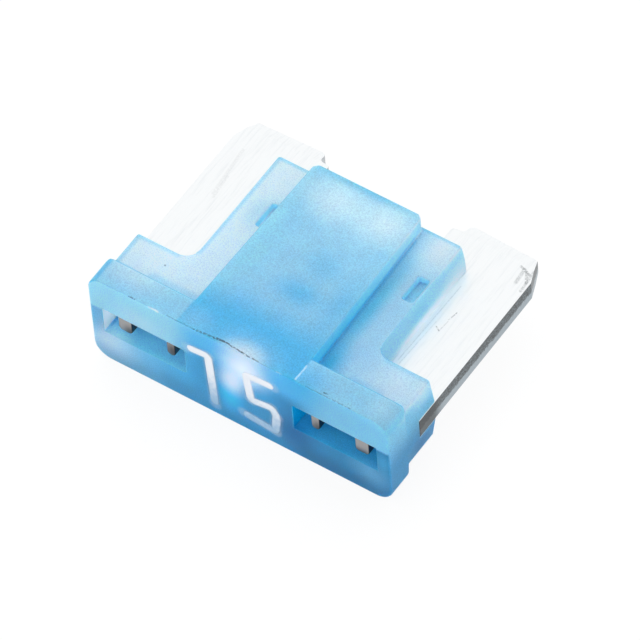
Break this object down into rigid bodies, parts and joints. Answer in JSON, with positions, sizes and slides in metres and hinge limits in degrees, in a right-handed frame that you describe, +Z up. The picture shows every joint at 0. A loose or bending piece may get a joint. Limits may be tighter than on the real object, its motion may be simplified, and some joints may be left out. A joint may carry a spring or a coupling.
{
  "type": "low-profile blade fuse",
  "caption": "Low-profile plug-in blade fuse: stepped translucent plastic housing round a stamped metal strip with flat blades and a thin fusible link.",
  "frame": {"origin": "middle of the part's outer box, at the level of the broad face that it lies on", "axes": "+X across the two blades, +Y from the head's face to the blade tips, +Z up through the thickness"},
  "size_m": [0.011, 0.0088, 0.0038],
  "materials": {
    "translucent_plastic": "frosted, translucent light blue",
    "plated_zinc": "tin plated, fine lengthwise scratches, dark sheared edges"
  },
  "bodies": {
    "root": {"housing": "translucent_plastic", "fuse_element": "plated_zinc"}
  },
  "joints": []
}
